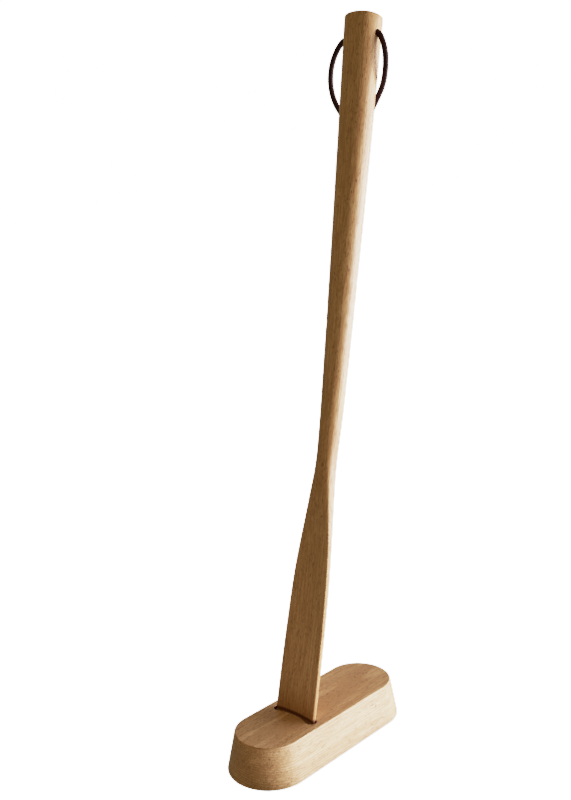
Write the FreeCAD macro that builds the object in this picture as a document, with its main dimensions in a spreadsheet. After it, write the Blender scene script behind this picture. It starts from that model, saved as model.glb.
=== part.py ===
import FreeCAD, Part

import math
import os

import Sketcher
from FreeCAD import Placement, Rotation, Vector

# A long wooden shoehorn that stands, leaning a little, in a curved slot in a solid base block.
# A round leather cord hangs from a hole across the top of the handle, tied in a knot behind it.
# Millimetres, +Z up. The origin is on the floor, under the middle of the base. X runs along the
# base, towards the side that the shoehorn leans to, and the blade's hollow faces -X.

doc = FreeCAD.newDocument("LongShoehorn")

# ---------------------------------------------------------------------------------------------
# Driving dimensions
# ---------------------------------------------------------------------------------------------

SIZES = {
    # base block and the pads under it
    "base_length": 172,
    "base_width": 64,
    "base_height": 30,
    "base_flare": 6,
    "top_edge_round": 1,
    "foot_edge_round": 0.5,
    "pad_height": 1,
    "pad_diameter": 13,
    "pad_reach_x": 58,
    "pad_reach_y": 19,
    # slot in the base block
    "slot_middle_x": -21.7,
    "slot_bow_radius": 42,
    "slot_end_radius": 4.2,
    "slot_half_chord": 16.5,
    "slot_depth": 23.4,
    "slot_edge_round": 0.3,
    # shoehorn, measured along its own leaning axis from the blade's tip
    "lean_angle": 11,
    "tip_x": -27.8,
    "tip_lift": 8.8,
    "horn_length": 551.5,
    "neck_at": 240.5,
    "blade_width": 37.6,
    "tip_width_share": 0.42,
    "tip_round_length": 14,
    "blade_curl_radius": 58,
    "neck_width": 15.8,
    "neck_thick": 16.8,
    "neck_middle": 2.7,
    "crown_width": 28.2,
    "crown_thick": 26.8,
    "handle_bow": 13.8,
    "crown_edge_round": 1.6,
    # hole for the cord
    "bore_at": 538.5,
    "bore_diameter": 5.2,
    "bore_behind_middle": 0.8,
    "bore_mouth_round": 0.6,
    # leather cord
    "cord_diameter": 4,
    "cord_run_half": 10,
    "knot_radius": 6,
    "knot_height": 11,
    "knot_edge_round": 2,
}

sheet = doc.addObject("Spreadsheet::Sheet", "Sizes")
for row, (name, value) in enumerate(SIZES.items(), start=1):
    sheet.set(f"A{row}", name)
    sheet.set(f"B{row}", str(value))
    sheet.setAlias(f"B{row}", name)
doc.recompute()


def size(name):
    """A driving dimension, read back from the spreadsheet."""
    return float(sheet.get(name))


# ---------------------------------------------------------------------------------------------
# Helpers
# ---------------------------------------------------------------------------------------------


def origin_plane(body, role):
    """The body's own origin plane with that role, such as XY_Plane."""
    return next(f for f in body.Origin.OriginFeatures if f.Role == role)


def new_body(name):
    body = doc.addObject("PartDesign::Body", name)
    body.Label = name
    return body


def flat_sketch(body, name, height="0"):
    """A sketch on the body's XY plane, raised to the height that the expression gives."""
    sketch = body.newObject("Sketcher::SketchObject", name)
    sketch.AttachmentSupport = (origin_plane(body, "XY_Plane"), [""])
    sketch.MapMode = "FlatFace"
    sketch.setExpression("AttachmentOffset.Base.z", height)
    return sketch


def bind(sketch, constraint, name, expression):
    """Adds a dimension to the sketch, names it and ties it to the spreadsheet."""
    index = sketch.addConstraint(constraint)
    sketch.renameConstraint(index, name)
    sketch.setExpression(f"Constraints.{name}", expression)


def edges_where(shape, test):
    """The names of the shape's edges that pass a test."""
    return [f"Edge{i}" for i, edge in enumerate(shape.Edges, start=1) if test(edge)]


def edge_height(edge):
    """The height of a level edge, or None for an edge that climbs."""
    box = edge.BoundBox
    return box.ZMin if box.ZLength < 1e-4 else None


def require(condition, message):
    if not condition:
        raise RuntimeError(message)


# ---------------------------------------------------------------------------------------------
# Base block: a stadium in plan, flared outward to the floor, with the curved slot in its top
# ---------------------------------------------------------------------------------------------

base = new_body("base_block")
base.setExpression("Placement.Base.z", "Sizes.pad_height")

outline = flat_sketch(base, "BaseOutline")
end_radius = size("base_width") / 2
end_centre = size("base_length") / 2 - end_radius
quarter = math.pi / 2
up = Vector(0, 0, 1)
outline.addGeometry(
    [
        Part.ArcOfCircle(
            Part.Circle(Vector(end_centre, 0, 0), up, end_radius), -quarter, quarter
        ),
        Part.ArcOfCircle(
            Part.Circle(Vector(-end_centre, 0, 0), up, end_radius), quarter, 3 * quarter
        ),
        Part.LineSegment(
            Vector(end_centre, end_radius, 0), Vector(-end_centre, end_radius, 0)
        ),
        Part.LineSegment(
            Vector(-end_centre, -end_radius, 0), Vector(end_centre, -end_radius, 0)
        ),
    ]
)
outline.addConstraint(
    [
        Sketcher.Constraint("Tangent", 0, 2, 2, 1),
        Sketcher.Constraint("Tangent", 2, 2, 1, 1),
        Sketcher.Constraint("Tangent", 1, 2, 3, 1),
        Sketcher.Constraint("Tangent", 3, 2, 0, 1),
        Sketcher.Constraint("Equal", 0, 1),
        Sketcher.Constraint("Symmetric", 0, 3, 1, 3, -1, 1),
        Sketcher.Constraint("Horizontal", 2),
    ]
)
bind(
    outline,
    Sketcher.Constraint("Radius", 0, end_radius),
    "end_radius",
    "Sizes.base_width / 2",
)
bind(
    outline,
    Sketcher.Constraint("DistanceX", 1, 3, 0, 3, 2 * end_centre),
    "end_spacing",
    "Sizes.base_length - Sizes.base_width",
)

block = base.newObject("PartDesign::Pad", "Block")
block.Profile = outline
block.setExpression("Length", "Sizes.base_height")
block.setExpression("TaperAngle", "-atan(Sizes.base_flare / Sizes.base_height)")
outline.Visibility = False
doc.recompute()
solid_volume = block.Shape.Volume

slot = flat_sketch(base, "SlotOutline", "Sizes.base_height")
bow = size("slot_bow_radius")
slot_end = size("slot_end_radius")
half_chord = size("slot_half_chord")
half_turn = math.asin(half_chord / bow)
bow_centre = Vector(size("slot_middle_x") - bow, 0, 0)


def slot_end_centre(side):
    return bow_centre + Vector(bow * math.cos(half_turn), side * half_chord, 0)


slot.addGeometry(
    [
        Part.ArcOfCircle(
            Part.Circle(bow_centre, up, bow - slot_end), -half_turn, half_turn
        ),
        Part.ArcOfCircle(
            Part.Circle(bow_centre, up, bow + slot_end), -half_turn, half_turn
        ),
        Part.ArcOfCircle(
            Part.Circle(slot_end_centre(1), up, slot_end),
            half_turn,
            half_turn + math.pi,
        ),
        Part.ArcOfCircle(
            Part.Circle(slot_end_centre(-1), up, slot_end),
            math.pi - half_turn,
            2 * math.pi - half_turn,
        ),
    ]
)
slot.addConstraint(
    [
        Sketcher.Constraint("Tangent", 1, 2, 2, 1),
        Sketcher.Constraint("Tangent", 2, 2, 0, 2),
        Sketcher.Constraint("Tangent", 0, 1, 3, 1),
        Sketcher.Constraint("Tangent", 3, 2, 1, 1),
        Sketcher.Constraint("Coincident", 0, 3, 1, 3),
        Sketcher.Constraint("PointOnObject", 0, 3, -1),
    ]
)
bind(
    slot,
    Sketcher.Constraint("Radius", 0, bow - slot_end),
    "front_wall_radius",
    "Sizes.slot_bow_radius - Sizes.slot_end_radius",
)
bind(
    slot,
    Sketcher.Constraint("Radius", 1, bow + slot_end),
    "back_wall_radius",
    "Sizes.slot_bow_radius + Sizes.slot_end_radius",
)
bind(
    slot,
    Sketcher.Constraint("DistanceX", 0, 3, -1, 1, -bow_centre.x),
    "bow_centre_x",
    "Sizes.slot_bow_radius - Sizes.slot_middle_x",
)
for end, name in ((2, "upper_half_chord"), (3, "lower_half_chord")):
    low, high = ((-1, 1), (end, 3)) if end == 2 else ((end, 3), (-1, 1))
    bind(
        slot,
        Sketcher.Constraint("DistanceY", *low, *high, half_chord),
        name,
        "Sizes.slot_half_chord",
    )

pocket = base.newObject("PartDesign::Pocket", "Slot")
pocket.Profile = slot
pocket.setExpression("Length", "Sizes.slot_depth")
lean = math.radians(size("lean_angle"))
pocket.UseCustomVector = True
pocket.Direction = Vector(-math.sin(lean), 0, -math.cos(lean))
pocket.AlongSketchNormal = True
slot.Visibility = False
doc.recompute()
slot_plan = 2 * bow * 2 * slot_end * half_turn + math.pi * slot_end**2
slot_volume = solid_volume - pocket.Shape.Volume
require(
    abs(slot_volume - slot_plan * size("slot_depth")) < 0.01 * slot_volume,
    f"the slot's pocket removes {slot_volume:.0f} mm3, which isn't the slot's volume",
)

block_top = size("base_height")


def on_slot(edge):
    """Whether an edge lies around the slot, and not around the block's own outline."""
    near_slot = size("slot_middle_x") - 3 * slot_end < edge.BoundBox.XMin
    return near_slot and edge.BoundBox.XMax < size("slot_middle_x") + slot_end + 1


def level_edges(shape, height, of_slot):
    return edges_where(
        shape,
        lambda edge: edge_height(edge) is not None
        and abs(edge_height(edge) - height) < 1e-3
        and on_slot(edge) == of_slot,
    )


previous = pocket
for name, height, of_slot, radius in (
    ("TopEdge", block_top, False, "top_edge_round"),
    ("FootEdge", 0, False, "foot_edge_round"),
    ("SlotEdge", block_top, True, "slot_edge_round"),
):
    names = level_edges(previous.Shape, height, of_slot)
    require(len(names) == 4, f"{name} should round four edges, not {len(names)}")
    rounding = base.newObject("PartDesign::Fillet", name)
    rounding.Base = (previous, names)
    rounding.setExpression("Radius", f"Sizes.{radius}")
    doc.recompute()
    previous = rounding

# ---------------------------------------------------------------------------------------------
# Foot pads: four thin felt discs under the block
# ---------------------------------------------------------------------------------------------

pads = []
for number, (along, across) in enumerate(
    ((-1, -1), (1, -1), (1, 1), (-1, 1)), start=1
):
    pad = doc.addObject("Part::Cylinder", f"foot_pad_{number}")
    pad.Label = f"foot_pad_{number}"
    pad.setExpression("Radius", "Sizes.pad_diameter / 2")
    pad.setExpression("Height", "Sizes.pad_height")
    pad.setExpression("Placement.Base.x", f"{along} * Sizes.pad_reach_x")
    pad.setExpression("Placement.Base.y", f"{across} * Sizes.pad_reach_y")
    pads.append(pad)

# ---------------------------------------------------------------------------------------------
# Shoehorn: one carved piece, lofted through oval sections along its leaning axis
# ---------------------------------------------------------------------------------------------

# Sections of the blade, by distance from the tip: width as a share of the blade's, thickness, how
# far the middle is behind the axis at the edges, how square the corners are, and how much of the
# blade's curl is there. The blade narrows and thickens into the neck.
BLADE_SECTIONS = [
    (16, 1.00, 4.2, -0.7, 7, 1.0),
    (28, 1.00, 4.7, -0.7, 7, 1.0),
    (58, 0.985, 5.0, -0.6, 7, 1.0),
    (98, 0.94, 5.1, -0.2, 7, 1.0),
    (128, 0.88, 5.3, 0.0, 7, 1.0),
    (153, 0.77, 6.1, 0.6, 6, 1.0),
    (176, 0.625, 8.5, 1.3, 5, 0.8),
    (198, 0.485, 11.3, 1.9, 4, 0.3),
    (220, 0.378, 14.1, 2.7, 3, 0.0),
]
TIP_SHARES = (0, 0.12, 0.3, 0.55, 0.8)
HANDLE_SHARES = (0, 0.2, 0.45, 0.72, 1)
HANDLE_SQUARENESS = 2.2
SECTION_POLES = 24
TIP_SPACING = 1.7
BLADE_SPACING = 5
HANDLE_SPACING = 13


def lean_placement():
    turn = Rotation(Vector(0, 1, 0), size("lean_angle"))
    return Placement(Vector(size("tip_x"), 0, size("tip_lift")), turn)


def tip_rows():
    """The tip's corners are rounded to an ellipse and it thins to three quarters at its end."""
    _, _, thick, middle, squareness, curl = BLADE_SECTIONS[0]
    flat = size("tip_width_share")
    for share in TIP_SHARES:
        rounding = math.sqrt(1 - (1 - share) ** 2)
        yield (
            share * size("tip_round_length"),
            flat + (1 - flat) * rounding,
            thick * (0.72 + 0.28 * share),
            middle,
            squareness,
            curl,
        )


def handle_middle(share):
    """How far the handle's middle is behind the axis: the handle bows forward to its top."""
    return size("neck_middle") - size("handle_bow") * share**1.25


def blend(start, end, share):
    return start + (end - start) * share


def handle_rows():
    for share in HANDLE_SHARES:
        width = blend(size("neck_width"), size("crown_width"), share**0.9)
        yield (
            blend(size("neck_at"), size("horn_length"), share),
            width / size("blade_width"),
            blend(size("neck_thick"), size("crown_thick"), share),
            handle_middle(share),
            HANDLE_SQUARENESS,
            0,
        )


def smooth_slopes(rows, column):
    """Slopes that carry a smooth curve through a column of the rows without overshooting."""
    gaps = [after[0] - before[0] for before, after in zip(rows, rows[1:])]
    climbs = [
        (after[column] - before[column]) / gap
        for before, after, gap in zip(rows, rows[1:], gaps)
    ]
    slopes = [climbs[0]]
    for i in range(1, len(climbs)):
        if climbs[i - 1] * climbs[i] <= 0:
            slopes.append(0)
            continue
        before = 2 * gaps[i] + gaps[i - 1]
        after = gaps[i] + 2 * gaps[i - 1]
        slopes.append((before + after) / (before / climbs[i - 1] + after / climbs[i]))
    slopes.append(climbs[-1])
    return slopes


def row_at(rows, slopes, along):
    """The row at that distance along the axis, blended smoothly from the rows around it."""
    last = len(rows) - 2
    i = next((k for k in range(last) if along <= rows[k + 1][0]), last)
    start, end = rows[i], rows[i + 1]
    gap = end[0] - start[0]
    t = (along - start[0]) / gap
    return [
        (2 * t**3 - 3 * t**2 + 1) * start[column]
        + (t**3 - 2 * t**2 + t) * gap * slopes[column][i]
        + (3 * t**2 - 2 * t**3) * end[column]
        + (t**3 - t**2) * gap * slopes[column][i + 1]
        for column in range(1, len(start))
    ]


def section_poles(along, share, thick, middle, squareness, curl_share, inset=0):
    """Poles of a closed oval across the axis, bowed by the blade's curl, at that distance."""
    width = share * size("blade_width")
    curl = curl_share / size("blade_curl_radius")
    in_blade = along > BLADE_SECTIONS[0][0]
    full_width = width if in_blade else size("blade_width")
    # A cubic curve runs a little inside its poles, so they stand a little outside the oval.
    spread = 3 / (2 + math.cos(2 * math.pi / SECTION_POLES))
    poles = []
    for step in range(SECTION_POLES):
        angle = 2 * math.pi * step / SECTION_POLES
        ahead, aside = (
            math.copysign(abs(value) ** (2 / squareness), value)
            for value in (math.cos(angle), math.sin(angle))
        )
        x = ahead * (thick / 2 - inset) * spread
        y = aside * (width / 2 - inset) * spread
        bow_here = curl * (full_width**2 / 4 - y**2) / 2
        poles.append(Vector(middle + x + bow_here, y, along))
    return poles


def section_distances():
    """Distances for the sections: close together at the tip and wider apart up the handle."""
    along, last = 0, size("horn_length") - size("crown_edge_round")
    while along < last - 0.6 * HANDLE_SPACING:
        yield along
        if along < size("tip_round_length"):
            along += TIP_SPACING
        elif along < 2 * size("tip_round_length"):
            along += BLADE_SPACING
        else:
            along += HANDLE_SPACING
    yield last


def pole_rows():
    rows = [*tip_rows(), *BLADE_SECTIONS, *handle_rows()]
    slopes = [None] + [smooth_slopes(rows, column) for column in range(1, 6)]
    for along in section_distances():
        yield section_poles(along, *row_at(rows, slopes, along))
    top = size("horn_length")
    crown = row_at(rows, slopes, top)
    yield section_poles(top, *crown)
    yield section_poles(top, *crown, inset=size("crown_edge_round"))


def carve():
    """The shoehorn's solid: one smooth surface around it and a flat face at either end."""
    rows = list(pole_rows())
    around = [list(column) for column in zip(*rows)]
    spans = len(rows) - 3
    surface = Part.BSplineSurface()
    surface.buildFromPolesMultsKnots(
        around,
        [1] * (SECTION_POLES + 1),
        [4] + [1] * (spans - 1) + [4],
        list(range(SECTION_POLES + 1)),
        list(range(spans + 1)),
        True,
        False,
        3,
        3,
    )
    side = surface.toShape()
    rims = [surface.vIso(0).toShape(), surface.vIso(spans).toShape()]
    ends = [Part.Face(Part.Wire(rim)) for rim in rims]
    shell = Part.makeShell([side, *ends])
    shell.sewShape()
    return Part.makeSolid(Part.Shell(shell.Faces))


carved = doc.addObject("Part::Feature", "CarvedShoehorn")
carved.Shape = carve()
carved.Placement = lean_placement()
require(carved.Shape.isValid() and carved.Shape.Volume > 0, "the shoehorn isn't a solid")

# The hole goes straight across, just behind the middle of the handle.
bore_share = (size("bore_at") - size("neck_at")) / (size("horn_length") - size("neck_at"))
bore_centre = lean_placement().multVec(
    Vector(handle_middle(bore_share) + size("bore_behind_middle"), 0, size("bore_at"))
)
hole = doc.addObject("Part::Cylinder", "CordHole")
hole.setExpression("Radius", "Sizes.bore_diameter / 2")
hole.setExpression("Height", "2 * Sizes.crown_width")
hole.Placement = Placement(
    bore_centre + Vector(0, size("crown_width"), 0), Rotation(Vector(1, 0, 0), 90)
)

drilled = doc.addObject("Part::Cut", "DrilledShoehorn")
drilled.Base = carved
drilled.Tool = hole
doc.recompute()
removed = carved.Shape.common(hole.Shape).Volume
straight_hole = math.pi * size("bore_diameter") ** 2 / 4 * size("crown_width")
require(
    0.9 * straight_hole < removed < 1.1 * straight_hole,
    f"the hole for the cord removes {removed:.0f} mm3",
)


def at_hole_mouth(edge):
    """Whether an edge belongs to one of the hole's two mouths, in the handle's sides."""
    centre = edge.BoundBox.Center
    radius = size("bore_diameter") / 2
    near = math.hypot(centre.x - bore_centre.x, centre.z - bore_centre.z) < radius
    return near and edge.BoundBox.YLength < radius and abs(centre.y) > 2 * radius


mouth_round = size("bore_mouth_round")
mouths = [
    (i, mouth_round, mouth_round)
    for i, edge in enumerate(drilled.Shape.Edges, start=1)
    if at_hole_mouth(edge)
]
require(len(mouths) >= 2, "the hole should have two mouths to round")
shoehorn = doc.addObject("Part::Fillet", "shoehorn")
shoehorn.Label = "shoehorn"
shoehorn.Base = drilled
shoehorn.Edges = mouths
doc.recompute()

# ---------------------------------------------------------------------------------------------
# Leather cord: through the hole, down both sides of the handle and into a knot behind it
# ---------------------------------------------------------------------------------------------

cord = size("cord_diameter")

# Each strand's route, as offsets from the middle of the hole: straight out of the hole, down the
# handle's side, and in behind the handle to the knot. The far strand hangs wider.
NEAR_STRAND = [
    (0.0, -10.0, 0.0),
    (0.0, -15.4, 0.0),
    (0.4, -18.0, -4.3),
    (1.0, -19.3, -10.0),
    (1.8, -19.4, -17.2),
    (2.9, -17.7, -27.0),
    (4.3, -15.0, -36.6),
    (5.8, -10.4, -45.0),
    (6.9, -4.6, -52.8),
    (7.3, 1.2, -59.0),
    (7.3, 6.0, -64.8),
    (7.1, 8.5, -70.6),
    (7.1, 8.5, -75.0),
]
FAR_STRAND = [
    (0.0, 10.0, 0.0),
    (0.0, 17.3, 0.0),
    (0.5, 25.0, -5.2),
    (1.3, 31.2, -12.7),
    (2.3, 34.9, -22.0),
    (3.4, 35.6, -32.3),
    (4.6, 33.4, -42.6),
    (5.7, 28.0, -51.6),
    (6.5, 21.8, -58.6),
    (7.0, 16.5, -64.6),
    (7.1, 12.9, -70.6),
    (7.1, 12.9, -75.0),
]


def tube(name, offsets, radius):
    """A round tube along straight runs that are joined by tangent arcs, and its arcs' radii."""
    points = [bore_centre + Vector(*offset) for offset in offsets]
    runs = [points[i + 1] - points[i] for i in range(len(points) - 1)]
    edges, radii = [], []
    start = points[0]
    for i in range(1, len(points) - 1):
        back, ahead = runs[i - 1], runs[i]
        turn = back.getAngle(ahead)
        reach = 0.45 * min(back.Length, ahead.Length)
        radii.append(reach / math.tan(turn / 2))
        before = points[i] - back * (reach / back.Length)
        after = points[i] + ahead * (reach / ahead.Length)
        inward = (before - points[i]) + (after - points[i])
        inward.normalize()
        centre_gap = radii[-1] / math.cos(turn / 2)
        middle = points[i] + inward * (centre_gap - radii[-1])
        edges.append(Part.LineSegment(start, before).toShape())
        edges.append(Part.Arc(before, middle, after).toShape())
        start = after
    edges.append(Part.LineSegment(start, points[-1]).toShape())
    path = Part.Wire(edges)
    section = Part.Wire(Part.makeCircle(radius, points[0], runs[0]))
    solid = path.makePipeShell([section], True, False, 2)
    expected = math.pi * radius**2 * path.Length
    require(
        abs(solid.Volume - expected) < 0.01 * expected,
        f"{name}'s tube has the wrong volume",
    )
    print(f"{name}: {path.Length:.1f} mm long, arc radii", [round(r, 1) for r in radii])
    return solid


def cord_piece(name, shape):
    piece = doc.addObject("Part::Feature", name)
    piece.Label = name
    piece.Shape = shape
    return piece


cord_run = doc.addObject("Part::Cylinder", "cord_bore_run")
cord_run.Label = "cord_bore_run"
cord_run.setExpression("Radius", "Sizes.cord_diameter / 2")
cord_run.setExpression("Height", "2 * Sizes.cord_run_half")
cord_run.Placement = Placement(
    bore_centre + Vector(0, size("cord_run_half"), 0), Rotation(Vector(1, 0, 0), 90)
)

near_strand = cord_piece("cord_near_strand", tube("near strand", NEAR_STRAND, cord / 2))
far_strand = cord_piece("cord_far_strand", tube("far strand", FAR_STRAND, cord / 2))

# The knot stands for the lump of an overhand knot tied in both strands together.
strand_ends = [bore_centre + Vector(*route[-1]) for route in (NEAR_STRAND, FAR_STRAND)]
knot_top = (strand_ends[0] + strand_ends[1]) * 0.5
knot = new_body("cord_knot")
knot.Placement.Base = knot_top
knot_outline = flat_sketch(knot, "KnotOutline")
knot_outline.addGeometry(Part.Circle(Vector(), up, size("knot_radius")))
knot_outline.addConstraint(Sketcher.Constraint("Coincident", 0, 3, -1, 1))
bind(
    knot_outline,
    Sketcher.Constraint("Radius", 0, size("knot_radius")),
    "knot_radius",
    "Sizes.knot_radius",
)
lump = knot.newObject("PartDesign::Pad", "Lump")
lump.Profile = knot_outline
lump.setExpression("Length", "Sizes.knot_height")
lump.Reversed = True
knot_outline.Visibility = False
doc.recompute()
lump_edge = knot.newObject("PartDesign::Fillet", "LumpEdge")
lump_edge.Base = (lump, edges_where(lump.Shape, lambda e: edge_height(e) is not None))
lump_edge.setExpression("Radius", "Sizes.knot_edge_round")
doc.recompute()

# The tails hang below the knot, one a little longer than the other.
knot_foot = knot_top.sub(bore_centre) - Vector(0, 0, size("knot_height"))
NEAR_TAIL = [(0.0, -2.2, 0.0), (0.0, -2.2, -4.5), (0.7, -3.8, -10.0), (1.0, -5.7, -16.0)]
FAR_TAIL = [(0.0, 2.2, 0.0), (0.0, 2.2, -5.5), (0.3, 3.4, -12.5), (-0.3, 4.0, -20.0)]
tails = []
for name, route in (("cord_near_tail", NEAR_TAIL), ("cord_far_tail", FAR_TAIL)):
    offsets = [tuple(knot_foot + Vector(*offset)) for offset in route]
    tails.append(cord_piece(name, tube(name, offsets, cord / 2)))

# ---------------------------------------------------------------------------------------------
# Check and write
# ---------------------------------------------------------------------------------------------

doc.recompute()
for item in doc.Objects:
    require(
        "Invalid" not in item.State and "Error" not in item.State,
        f"{item.Name} failed to compute",
    )

sub_parts = [
    base,
    *pads,
    shoehorn,
    cord_run,
    near_strand,
    far_strand,
    knot,
    *tails,
]
for sub_part in sub_parts:
    shape = sub_part.Shape
    require(not shape.isNull() and shape.isValid(), f"{sub_part.Label} is not sound")

os.makedirs("parts", exist_ok=True)
for sub_part in sub_parts:
    sub_part.Shape.exportStep(f"parts/{sub_part.Label}.step")
    print(f"{sub_part.Label}: {sub_part.Shape.Volume / 1000:.2f} cm3")
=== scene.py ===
import math

import bpy
from mathutils import Matrix, Vector


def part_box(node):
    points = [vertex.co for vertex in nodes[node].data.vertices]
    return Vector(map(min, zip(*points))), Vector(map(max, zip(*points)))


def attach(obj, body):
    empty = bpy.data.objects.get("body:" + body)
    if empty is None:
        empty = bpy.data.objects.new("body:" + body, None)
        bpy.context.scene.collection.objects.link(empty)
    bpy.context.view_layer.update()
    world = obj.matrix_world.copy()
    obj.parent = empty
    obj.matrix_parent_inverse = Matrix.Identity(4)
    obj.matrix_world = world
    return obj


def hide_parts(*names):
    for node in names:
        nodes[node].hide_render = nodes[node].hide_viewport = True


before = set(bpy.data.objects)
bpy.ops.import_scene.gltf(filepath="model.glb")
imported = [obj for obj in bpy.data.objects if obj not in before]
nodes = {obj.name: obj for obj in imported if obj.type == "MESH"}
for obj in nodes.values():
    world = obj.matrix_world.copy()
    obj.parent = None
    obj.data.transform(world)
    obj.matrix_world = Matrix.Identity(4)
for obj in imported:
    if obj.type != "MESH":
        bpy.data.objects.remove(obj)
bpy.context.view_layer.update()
MM = 0.001
# The shoehorn's lean, and the height of the base's top in mm.
LEAN = math.radians(11)
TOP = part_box("base_block")[1][2] / MM

# ---------------------------------------------------------------------------------------------
# Camera: at the photograph's angle, with its distance and its target in metres
# ---------------------------------------------------------------------------------------------

AZIMUTH = math.radians(-47.204)
ELEVATION = math.radians(10.508)
ROLL = math.radians(-1.266)
DISTANCE = 0.665093
TARGET = Vector((-0.027956, 0, 0.27821))

back = Vector(
    (
        math.sin(AZIMUTH) * math.cos(ELEVATION),
        -math.cos(AZIMUTH) * math.cos(ELEVATION),
        math.sin(ELEVATION),
    )
)
level_right = Vector((math.cos(AZIMUTH), math.sin(AZIMUTH), 0))
level_up = back.cross(level_right)
right = level_right * math.cos(ROLL) + level_up * math.sin(ROLL)
up = level_up * math.cos(ROLL) - level_right * math.sin(ROLL)

camera_data = bpy.data.cameras.new("camera")
camera_data.sensor_width = 36
camera_data.lens = 41.537
camera = bpy.data.objects.new("camera", camera_data)
bpy.context.scene.collection.objects.link(camera)
camera.matrix_world = Matrix.Translation(TARGET + back * DISTANCE) @ (
    Matrix((right, up, back)).transposed().to_4x4()
)
bpy.context.scene.camera = camera

# ---------------------------------------------------------------------------------------------
# Leather cord: two strands that leave the hole's mouths and meet in a knot behind the handle
# ---------------------------------------------------------------------------------------------

# The hole's middle.
BORE = Vector((65.544, 0, 539.235)) * MM
CORD_RADIUS = 2.1 * MM

# Each stretch of the cord, as offsets from the hole's middle in mm.
IN_HOLE = [(0.0, -10.0, 0.35), (0.0, 0.0, 0.1), (0.0, 10.0, 0.0)]
NEAR_STRAND = [
    (0.0, -10.0, 0.35),
    (0.0, -14.6, 0.35),
    (0.4, -17.4, -5.0),
    (1.0, -19.1, -11.0),
    (1.8, -19.6, -18.3),
    (3.1, -18.2, -27.0),
    (5.8, -13.9, -36.4),
    (7.8, -7.0, -44.8),
    (8.0, -1.8, -52.2),
    (7.9, 3.0, -59.0),
    (7.4, 6.8, -65.0),
    (7.1, 8.5, -70.6),
    (7.1, 8.5, -75.0),
]
FAR_STRAND = [
    (0.0, 10.0, 0.0),
    (0.0, 17.3, 0.0),
    (0.5, 24.3, -5.2),
    (1.3, 30.0, -12.7),
    (2.3, 33.7, -22.0),
    (3.4, 34.7, -32.3),
    (4.6, 32.6, -42.6),
    (5.7, 27.4, -51.6),
    (6.5, 21.8, -58.6),
    (7.0, 16.5, -64.6),
    (7.1, 12.9, -70.6),
    (7.1, 12.9, -75.0),
]
# The strands run on through the knot and out below it as the two tails.
NEAR_TAIL = [
    (7.1, 8.5, -75.0),
    (7.1, 8.5, -80.5),
    (7.1, 8.5, -86.0),
    (7.1, 8.5, -90.5),
    (7.8, 6.9, -96.0),
    (8.1, 5.0, -102.0),
]
FAR_TAIL = [
    (7.1, 12.9, -75.0),
    (7.1, 12.9, -80.5),
    (7.1, 12.9, -86.0),
    (7.1, 12.9, -91.5),
    (7.4, 14.1, -98.5),
    (6.8, 14.7, -106.0),
]


def cord_curve(name, routes):
    """Round cord along one or more open NURBS splines, with offsets from the hole in mm.

    The bevel's depth is 1 and the points hold the radius, so that the curve's own box is right.
    """
    curve = bpy.data.curves.new(name, "CURVE")
    curve.dimensions = "3D"
    curve.bevel_depth = 1.0
    curve.bevel_resolution = 8
    curve.use_fill_caps = True
    for route in routes:
        spline = curve.splines.new("NURBS")
        spline.points.add(len(route) - 1)
        for point, offset in zip(spline.points, route):
            point.co = (*(BORE + Vector(offset) * MM), 1)
            point.radius = CORD_RADIUS
        spline.order_u = 3
        spline.use_endpoint_u = True
        spline.resolution_u = 12
    piece = bpy.data.objects.new(name, curve)
    bpy.context.scene.collection.objects.link(piece)
    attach(piece, "cord")
    return piece


def knot_wrap():
    """The cord's turns around both strands, and the last one that crosses back over them."""
    middle_x, middle_y, top = 7.1, 10.7, -76.8
    half_depth, half_width = 3.6, 5.3
    turns, steps_per_turn, start_angle = 2.5, 12, 0.6
    wound_turns, pitch = 1.75, 4.1
    crossing_turns, climb, bulge = turns - wound_turns, 5.6, 0.42
    route = []
    for step in range(round(turns * steps_per_turn) + 1):
        turn = step / steps_per_turn
        angle = 2 * math.pi * turn + start_angle
        crossing = max(0.0, turn - wound_turns) / crossing_turns
        lift = 1 + bulge * math.sin(math.pi * min(1.0, crossing))
        drop = pitch * min(turn, wound_turns) - climb * crossing
        route.append(
            (
                middle_x + half_depth * lift * math.sin(angle),
                middle_y + half_width * lift * math.cos(angle),
                top - drop,
            )
        )
    return route


knot = cord_curve("cord_knot_tied", [knot_wrap(), NEAR_TAIL, FAR_TAIL])
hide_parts("cord_knot", "cord_near_tail", "cord_far_tail")

in_hole = cord_curve("cord_in_hole", [IN_HOLE])
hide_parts("cord_bore_run")

near_strand = cord_curve("cord_near", [NEAR_STRAND])
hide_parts("cord_near_strand")

far_strand = cord_curve("cord_far", [FAR_STRAND])
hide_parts("cord_far_strand")

# ---------------------------------------------------------------------------------------------
# Materials
# ---------------------------------------------------------------------------------------------


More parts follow.
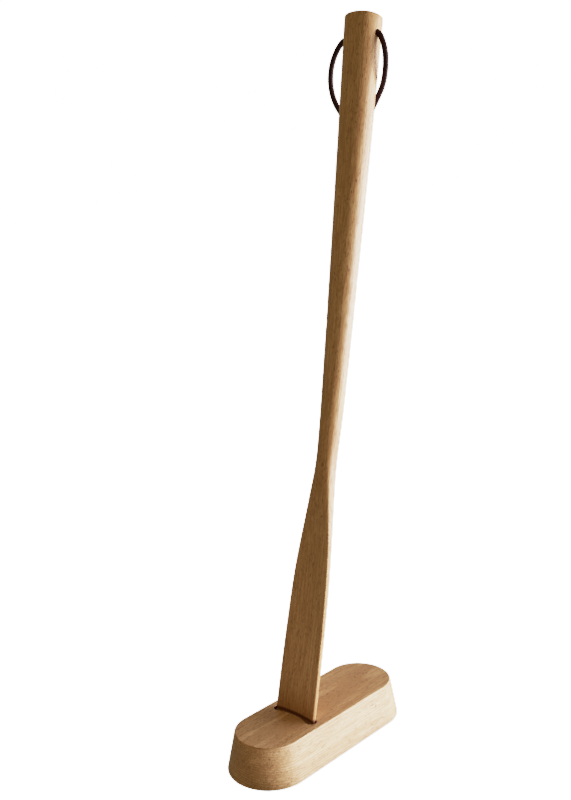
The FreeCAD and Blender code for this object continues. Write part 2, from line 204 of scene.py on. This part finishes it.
class Shading:
    """A tree of shading nodes, and short ways to add nodes to it."""

    def __init__(self, tree):
        self.tree = tree

    def add(self, kind, settings=None, **inputs):
        node = self.tree.nodes.new(kind)
        for key, value in (settings or {}).items():
            setattr(node, key, value)
        for key, value in inputs.items():
            self.feed(node.inputs[key.replace("_", " ")], value)
        return node

    def feed(self, socket, value):
        if isinstance(value, bpy.types.NodeSocket):
            self.tree.links.new(value, socket)
        else:
            socket.default_value = value

    def math(self, operation, first, second=0.0):
        node = self.add("ShaderNodeMath", {"operation": operation})
        self.feed(node.inputs[0], first)
        self.feed(node.inputs[1], second)
        return node.outputs[0]

    def spread(self, value, low, high, new_low, new_high):
        """Maps a range of a value to another range, smoothly, and clamps it."""
        node = self.add("ShaderNodeMapRange", {"interpolation_type": "SMOOTHSTEP"})
        for name, bound in (
            ("Value", value),
            ("From Min", low),
            ("From Max", high),
            ("To Min", new_low),
            ("To Max", new_high),
        ):
            self.feed(node.inputs[name], bound)
        return node.outputs[0]

    def noise(self, vector, lengths, detail=2.0, roughness=0.5, offset=(0, 0, 0)):
        """Noise that varies over those lengths, in mm, along the vector's three axes."""
        mapping = self.add("ShaderNodeMapping", Vector=vector)
        mapping.inputs["Scale"].default_value = [1 / length for length in lengths]
        mapping.inputs["Location"].default_value = offset
        node = self.add(
            "ShaderNodeTexNoise",
            Vector=mapping.outputs[0],
            Scale=1.0,
            Detail=detail,
            Roughness=roughness,
        )
        return node.outputs["Fac"]

    def mix(self, factor, first, second, blend="MIX"):
        node = self.add("ShaderNodeMix", {"data_type": "RGBA", "blend_type": blend})
        self.feed(node.inputs[0], factor)
        self.feed(node.inputs[6], first)
        self.feed(node.inputs[7], second)
        return node.outputs[2]

    def object_mm(self, rotation=(0, 0, 0)):
        """Object coordinates in mm, turned by a rotation."""
        coordinates = self.add("ShaderNodeTexCoord")
        mapping = self.add("ShaderNodeMapping", Vector=coordinates.outputs["Object"])
        mapping.inputs["Scale"].default_value = (1000, 1000, 1000)
        mapping.inputs["Rotation"].default_value = rotation
        return mapping.outputs[0]


class Finish(Shading):
    """A material with one principled shader."""

    def __init__(self, name):
        self.material = bpy.data.materials.new(name)
        self.material.use_nodes = True
        super().__init__(self.material.node_tree)
        self.shader = self.tree.nodes["Principled BSDF"]

    def bump(self, height, distance, strength):
        """Raises the surface by a height, times a distance in metres."""
        node = self.add("ShaderNodeBump", Height=height, Strength=strength)
        node.inputs["Distance"].default_value = distance
        self.feed(self.shader.inputs["Normal"], node.outputs[0])


# The colours of pores, of ray flecks, and of the painted shade in and beside the slot.
PORE = [0.27, 0.125, 0.048, 1]
RAY = [0.22, 0.085, 0.032, 1]
PAINTED_SLOT_SHADE = [0.10, 0.012, 0.004, 1]


def growth_rings(wood, grain, pith, ring):
    """How many rings a point is from the pith. The rings wander a little along the grain."""
    drift = wood.noise(grain, (190, 30, 30))
    waver = wood.noise(grain, (38, 7, 7), offset=(7, 3, 5))
    parts = wood.add("ShaderNodeSeparateXYZ", Vector=grain)
    across = wood.math("SUBTRACT", parts.outputs[1], pith[0])
    above = wood.math("SUBTRACT", parts.outputs[2], pith[1])
    radius = wood.math(
        "SQRT",
        wood.math("ADD", wood.math("POWER", across, 2), wood.math("POWER", above, 2)),
    )
    radius = wood.math("ADD", radius, wood.math("MULTIPLY", drift, 5.0))
    radius = wood.math("ADD", radius, wood.math("MULTIPLY", waver, 1.1))
    return wood.math("DIVIDE", radius, ring)


def beech(name, rotation, pith, ring, contrast, specks, pores, flecks, light, dark):
    """Oiled beech, with its grain along X once it is turned.

    The pith's place across the grain and the width of a ring are in mm.
    """
    wood = Finish(name)
    grain = wood.object_mm(rotation)

    rings = growth_rings(wood, grain, pith, ring)
    in_ring = wood.math("FRACT", rings)
    late_wood = wood.math(
        "MULTIPLY", wood.spread(in_ring, 0.3, 0.85, 0, 1), wood.spread(in_ring, 0.85, 1.0, 1, 0)
    )
    ring_number = wood.add("ShaderNodeCombineXYZ", X=wood.math("FLOOR", rings))
    year = wood.add(
        "ShaderNodeTexWhiteNoise", {"noise_dimensions": "3D"}, Vector=ring_number.outputs[0]
    )

    band = wood.noise(grain, (420, 16, 5), detail=1, offset=(2, 9, 4))
    fibre = wood.noise(grain, (26, 0.8, 0.8), detail=5, roughness=0.7)
    streak = wood.noise(grain, (42, 1.5, 1.5), offset=(1, 4, 9))
    line = wood.noise(grain, (30, 1.0, 1.0), detail=1, roughness=0.4, offset=(9, 2, 3))
    speck = wood.noise(grain, (4.2, 0.85, 0.85), offset=(6, 7, 1))
    pore = wood.noise(grain, (2.2, 0.4, 0.4), detail=1, offset=(5, 1, 8))
    ray = wood.noise(grain, (3.0, 0.7, 0.7), detail=0, offset=(3, 6, 2))
    patch = wood.noise(grain, (26, 6, 6), offset=(8, 2, 6))

    shade = wood.math("MULTIPLY", late_wood, wood.math("ADD", year.outputs[0], 0.25))
    shade = wood.math("MULTIPLY", shade, contrast)
    for texture, low, high, amount in (
        (band, 0.35, 0.65, 0.34),
        (fibre, 0.36, 0.64, 0.34),
        (streak, 0.5, 0.7, 0.38),
        (line, 0.5, 0.66, 0.4),
        (speck, 0.42, 0.68, specks),
        (patch, 0.3, 0.7, 0.16),
    ):
        shade = wood.math("ADD", shade, wood.spread(texture, low, high, 0, amount))
    colour = wood.mix(shade, light, dark)

    pore_mask = wood.spread(pore, 0.57, 0.7, 0, pores)
    colour = wood.mix(pore_mask, colour, PORE)
    ray_mask = wood.math(
        "MULTIPLY",
        wood.spread(ray, 0.62, 0.74, 0, flecks),
        wood.spread(patch, 0.42, 0.60, 0.25, 1),
    )
    colour = wood.mix(ray_mask, colour, RAY)

    roughness = wood.spread(fibre, 0.3, 0.7, 0.42, 0.54)
    wood.feed(wood.shader.inputs["Roughness"], roughness)
    relief = fibre
    for texture, amount in ((pore_mask, -1.2), (late_wood, 0.25), (patch, 10.0), (streak, 1.5)):
        relief = wood.math("ADD", relief, wood.math("MULTIPLY", texture, amount))
    wood.bump(relief, distance=0.00006, strength=0.6)
    return wood, colour


# A block around the slot, in mm: its middle along X, half its sizes along X and Y, and the
# width over which its edges fade.
SLOT_MIDDLE = -24
SLOT_HALF_X = 12.5
SLOT_HALF_Y = 22
SLOT_FADE = 0.5


def base_beech():
    """The base's beech, with painted shade, dark and reddish, on the slot's walls."""
    wood, colour = beech(
        "base_beech",
        rotation=(0, 0, 0),
        pith=(30, -420),
        ring=1.7,
        contrast=0.8,
        specks=0.3,
        pores=0.5,
        flecks=0.8,
        light=[0.79, 0.56, 0.36, 1],
        dark=[0.50, 0.30, 0.16, 1],
    )
    facing = wood.add("ShaderNodeTexCoord").outputs["Normal"]
    end_on = wood.math("ABSOLUTE", wood.add("ShaderNodeSeparateXYZ", Vector=facing).outputs[0])
    end_grain = wood.spread(end_on, 0.2, 1.0, 0, 1)
    colour = wood.mix(end_grain, colour, [0.84, 0.71, 0.56, 1], "MULTIPLY")

    place = wood.add("ShaderNodeSeparateXYZ", Vector=wood.object_mm())
    # Painted shade: the slot's walls below the top are dark and reddish, standing in for the shadow
    # in the gap.
    below_top = wood.spread(place.outputs[2], TOP - 0.9, TOP - 0.15, 1, 0)
    off_x = wood.math("ABSOLUTE", wood.math("SUBTRACT", place.outputs[0], SLOT_MIDDLE))
    off_y = wood.math("ABSOLUTE", place.outputs[1])
    by_slot = wood.math(
        "MULTIPLY",
        wood.spread(off_y, SLOT_HALF_Y - SLOT_FADE, SLOT_HALF_Y, 1, 0),
        wood.spread(off_x, SLOT_HALF_X - SLOT_FADE, SLOT_HALF_X, 1, 0),
    )
    colour = wood.mix(wood.math("MULTIPLY", below_top, by_slot), colour, PAINTED_SLOT_SHADE)
    wood.feed(wood.shader.inputs["Base Color"], colour)
    return wood.material


def horn_beech():
    """The shoehorn's beech, with painted shade darkening the blade towards the base's top and a
    painted shadow line at the slot's edge.
    """
    wood, colour = beech(
        "horn_beech",
        rotation=(0, math.pi / 2 - LEAN, 0),
        pith=(-160, 95),
        ring=2.7,
        contrast=0.16,
        specks=0.3,
        pores=0.3,
        flecks=0.75,
        light=[0.70, 0.43, 0.222, 1],
        dark=[0.44, 0.222, 0.093, 1],
    )
    height = wood.add("ShaderNodeSeparateXYZ", Vector=wood.object_mm()).outputs[2]
    # Painted shade: the blade darkens towards the base's top, where the base hides the low light.
    painted_foot_shade = wood.spread(height, TOP - 2, TOP + 26, 0.45, 0)
    colour = wood.mix(painted_foot_shade, colour, [0.30, 0.12, 0.03, 1])
    # Painted shadow: a thin dark line on the blade just at the slot's edge.
    painted_slot_shadow = wood.spread(height, TOP + 0.6, TOP + 2.3, 0.92, 0)
    painted_slot_shadow = wood.math("MULTIPLY", painted_slot_shadow, wood.spread(height, TOP - 1.2, TOP - 0.4, 0, 1))
    colour = wood.mix(painted_slot_shadow, colour, PAINTED_SLOT_SHADE)
    wood.feed(wood.shader.inputs["Base Color"], colour)
    return wood.material


def leather(name):
    """Dull dark reddish brown leather with fine creases."""
    hide = Finish(name)
    place = hide.object_mm()
    mottle = hide.noise(place, (5, 5, 5), detail=3)
    crease = hide.noise(place, (0.7, 0.7, 1.6), detail=3, roughness=0.6, offset=(4, 2, 7))
    colour = hide.mix(
        hide.spread(mottle, 0.35, 0.65, 0, 1), [0.020, 0.0018, 0.0022, 1], [0.036, 0.004, 0.0055, 1]
    )
    colour = hide.mix(hide.spread(crease, 0.55, 0.75, 0, 0.6), colour, [0.008, 0.001, 0.001, 1])
    hide.feed(hide.shader.inputs["Base Color"], colour)
    hide.feed(hide.shader.inputs["Roughness"], hide.spread(crease, 0.3, 0.7, 0.5, 0.7))
    hide.feed(hide.shader.inputs["Specular IOR Level"], 0.22)
    hide.bump(crease, distance=0.00018, strength=0.8)
    return hide.material


def felt(name):
    """Pressed felt with matted fibres."""
    wool = Finish(name)
    place = wool.object_mm()
    fuzz = wool.noise(place, (0.35, 0.35, 0.35), detail=4, roughness=0.7)
    colour = wool.mix(
        wool.spread(fuzz, 0.3, 0.7, 0, 1), [0.035, 0.026, 0.020, 1], [0.10, 0.078, 0.062, 1]
    )
    wool.feed(wool.shader.inputs["Base Color"], colour)
    wool.feed(wool.shader.inputs["Roughness"], wool.spread(fuzz, 0.3, 0.7, 0.85, 1.0))
    wool.bump(fuzz, distance=0.0002, strength=0.8)
    return wool.material


def finish_with(material, *objects):
    for piece in objects:
        piece.data.materials.clear()
        piece.data.materials.append(material)


finish_with(base_beech(), nodes["base_block"])
finish_with(horn_beech(), nodes["shoehorn"])
finish_with(leather("cord_leather"), in_hole, near_strand, far_strand, knot)
finish_with(felt("pad_felt"), *(nodes[f"foot_pad_{number}"] for number in range(1, 5)))

# ---------------------------------------------------------------------------------------------
# Floor and light: a pale floor, a large soft light from the side, and two weaker lights
# ---------------------------------------------------------------------------------------------

# The floor and the backdrop glow at this strength, and light nothing.
WHITE = 5.0
# How far the floor reaches each way, in metres.
REACH = 60

floor_mesh = bpy.data.meshes.new("floor")
floor_mesh.from_pydata(
    [(-REACH, -REACH, 0), (REACH, -REACH, 0), (REACH, REACH, 0), (-REACH, REACH, 0)],
    [],
    [(0, 1, 2, 3)],
)
floor = bpy.data.objects.new("floor", floor_mesh)
bpy.context.scene.collection.objects.link(floor)
floor.visible_diffuse = False
floor.visible_glossy = False
floor.visible_shadow = False
floor_paint = Finish("floor_paint")
floor_paint.feed(floor_paint.shader.inputs["Base Color"], (0.8, 0.8, 0.8, 1))
floor_paint.feed(floor_paint.shader.inputs["Roughness"], 1.0)
floor_paint.feed(floor_paint.shader.inputs["Emission Color"], (1, 1, 1, 1))
floor_paint.feed(floor_paint.shader.inputs["Emission Strength"], WHITE)
finish_with(floor_paint.material, floor)


def soft_light(name, width, height, power, colour):
    """A rectangular light, with its sizes in metres and its power in watts."""
    data = bpy.data.lights.new(name, "AREA")
    data.shape = "RECTANGLE"
    data.size = width
    data.size_y = height
    data.energy = power
    data.color = colour
    light = bpy.data.objects.new(name, data)
    bpy.context.scene.collection.objects.link(light)
    return light


def face_shoehorn(light, azimuth, elevation, distance):
    """Puts a light in that direction, in degrees and metres, facing the shoehorn's middle."""
    azimuth, elevation = math.radians(azimuth), math.radians(elevation)
    direction = Vector(
        (
            math.cos(azimuth) * math.cos(elevation),
            math.sin(azimuth) * math.cos(elevation),
            math.sin(elevation),
        )
    )
    middle = Vector((0.01, 0, 0.25))
    light.location = middle + direction * distance
    light.rotation_euler = direction.to_track_quat("Z", "Y").to_euler()


key = soft_light("key", width=1.85, height=0.9, power=112, colour=(1.0, 0.97, 0.96))
face_shoehorn(key, azimuth=-38, elevation=0, distance=1.8)

# This stands for the key's light that the pale floor throws back up at the base.
bounce = soft_light("bounce", width=0.32, height=0.2, power=0.5, colour=(1.0, 0.94, 0.93))
bounce.location = (0.02, -0.14, 0.002)
bounce.rotation_euler = (math.pi, 0, 0)
bounce.visible_camera = False
bounce.visible_glossy = False

# A light behind shows only in gloss, as the sheen on the base's top.
sheen = soft_light("sheen", width=1.6, height=0.5, power=3, colour=(1.0, 1.0, 1.0))
face_shoehorn(sheen, azimuth=43, elevation=9, distance=2.0)
sheen.visible_camera = False
sheen.visible_diffuse = False

# The room's own light is warm from above, and a little weaker and greener from below.
world = bpy.data.worlds.new("studio")
world.use_nodes = True
bpy.context.scene.world = world
room = Shading(world.node_tree)
direction = room.add("ShaderNodeTexCoord").outputs["Generated"]
height = room.add("ShaderNodeSeparateXYZ", Vector=direction).outputs[2]
glow = room.mix(room.spread(height, -0.3, 0.3, 0, 1), [0.20, 0.23, 0.16, 1], [0.355, 0.245, 0.10, 1])
unseen = room.add("ShaderNodeBackground", Color=glow, Strength=1.0)
backdrop = room.add("ShaderNodeBackground", Color=[1, 1, 1, 1], Strength=WHITE)
seen = room.add("ShaderNodeLightPath").outputs["Is Camera Ray"]
either = room.add("ShaderNodeMixShader")
room.feed(either.inputs[0], seen)
room.feed(either.inputs[1], unseen.outputs[0])
room.feed(either.inputs[2], backdrop.outputs[0])
room.feed(room.tree.nodes["World Output"].inputs["Surface"], either.outputs[0])

# The picture's highlights level off softly, and the backdrop is above them, at pure white.
KNEE, CEILING = 0.3, 0.88
picture = bpy.context.scene.view_settings
picture.view_transform = "Standard"
picture.use_curve_mapping = True
tone = picture.curve_mapping
tone.white_level = (WHITE, WHITE, WHITE)
for light in (0.15, KNEE, 0.4, 0.52, 0.66, 0.84, 1.1, 1.5, 2.1, 3.2):
    over = max(0.0, light - KNEE)
    shown = min(light, KNEE) + (CEILING - KNEE) * (1 - math.exp(-over / (CEILING - KNEE)))
    tone.curves[3].points.new(light / WHITE, shown)
tone.update()
